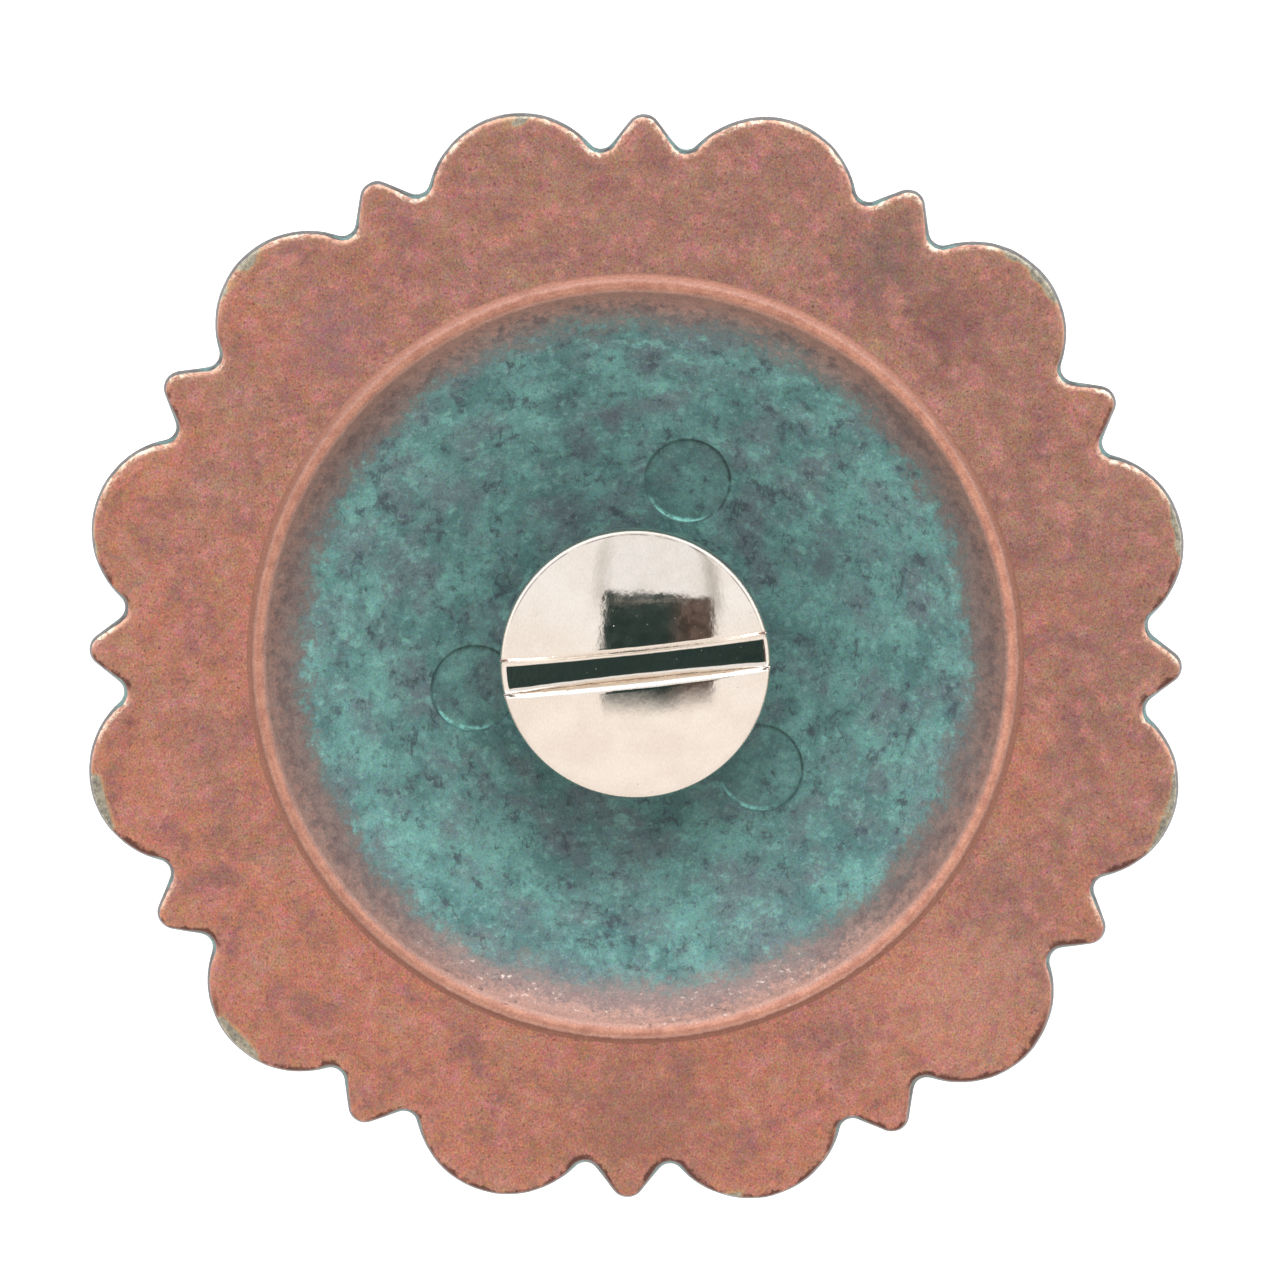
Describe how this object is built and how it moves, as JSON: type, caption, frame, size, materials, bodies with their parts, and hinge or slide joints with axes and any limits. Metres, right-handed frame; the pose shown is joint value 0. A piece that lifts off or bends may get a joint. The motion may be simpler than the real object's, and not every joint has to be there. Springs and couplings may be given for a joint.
{
  "type": "screw-back concho",
  "caption": "Round scalloped metal concho, shown back up, with a dished back, a threaded post and a slotted screw that clamps it to a leather strap.",
  "frame": {"origin": "on the post's axis, in the plane that the front's crown ring rests on", "axes": "+Z out of the back along the post's axis, +X through a point of the scalloped outline"},
  "size_m": [0.037, 0.037, 0.0072],
  "materials": {
    "antiqued_copper": "antiqued copper plate on a zinc casting, worn bright at the edges, with green patina in the recess",
    "nickel": "bright nickel plate on steel"
  },
  "bodies": {
    "concho": {"concho_plate": "antiqued_copper"},
    "screw": {"back_screw": "nickel"}
  },
  "joints": [
    {"name": "screw_travel", "type": "slide", "parent": "concho", "child": "screw", "axis": [0, 0, 1], "range_m": [0, 0.01]}
  ]
}
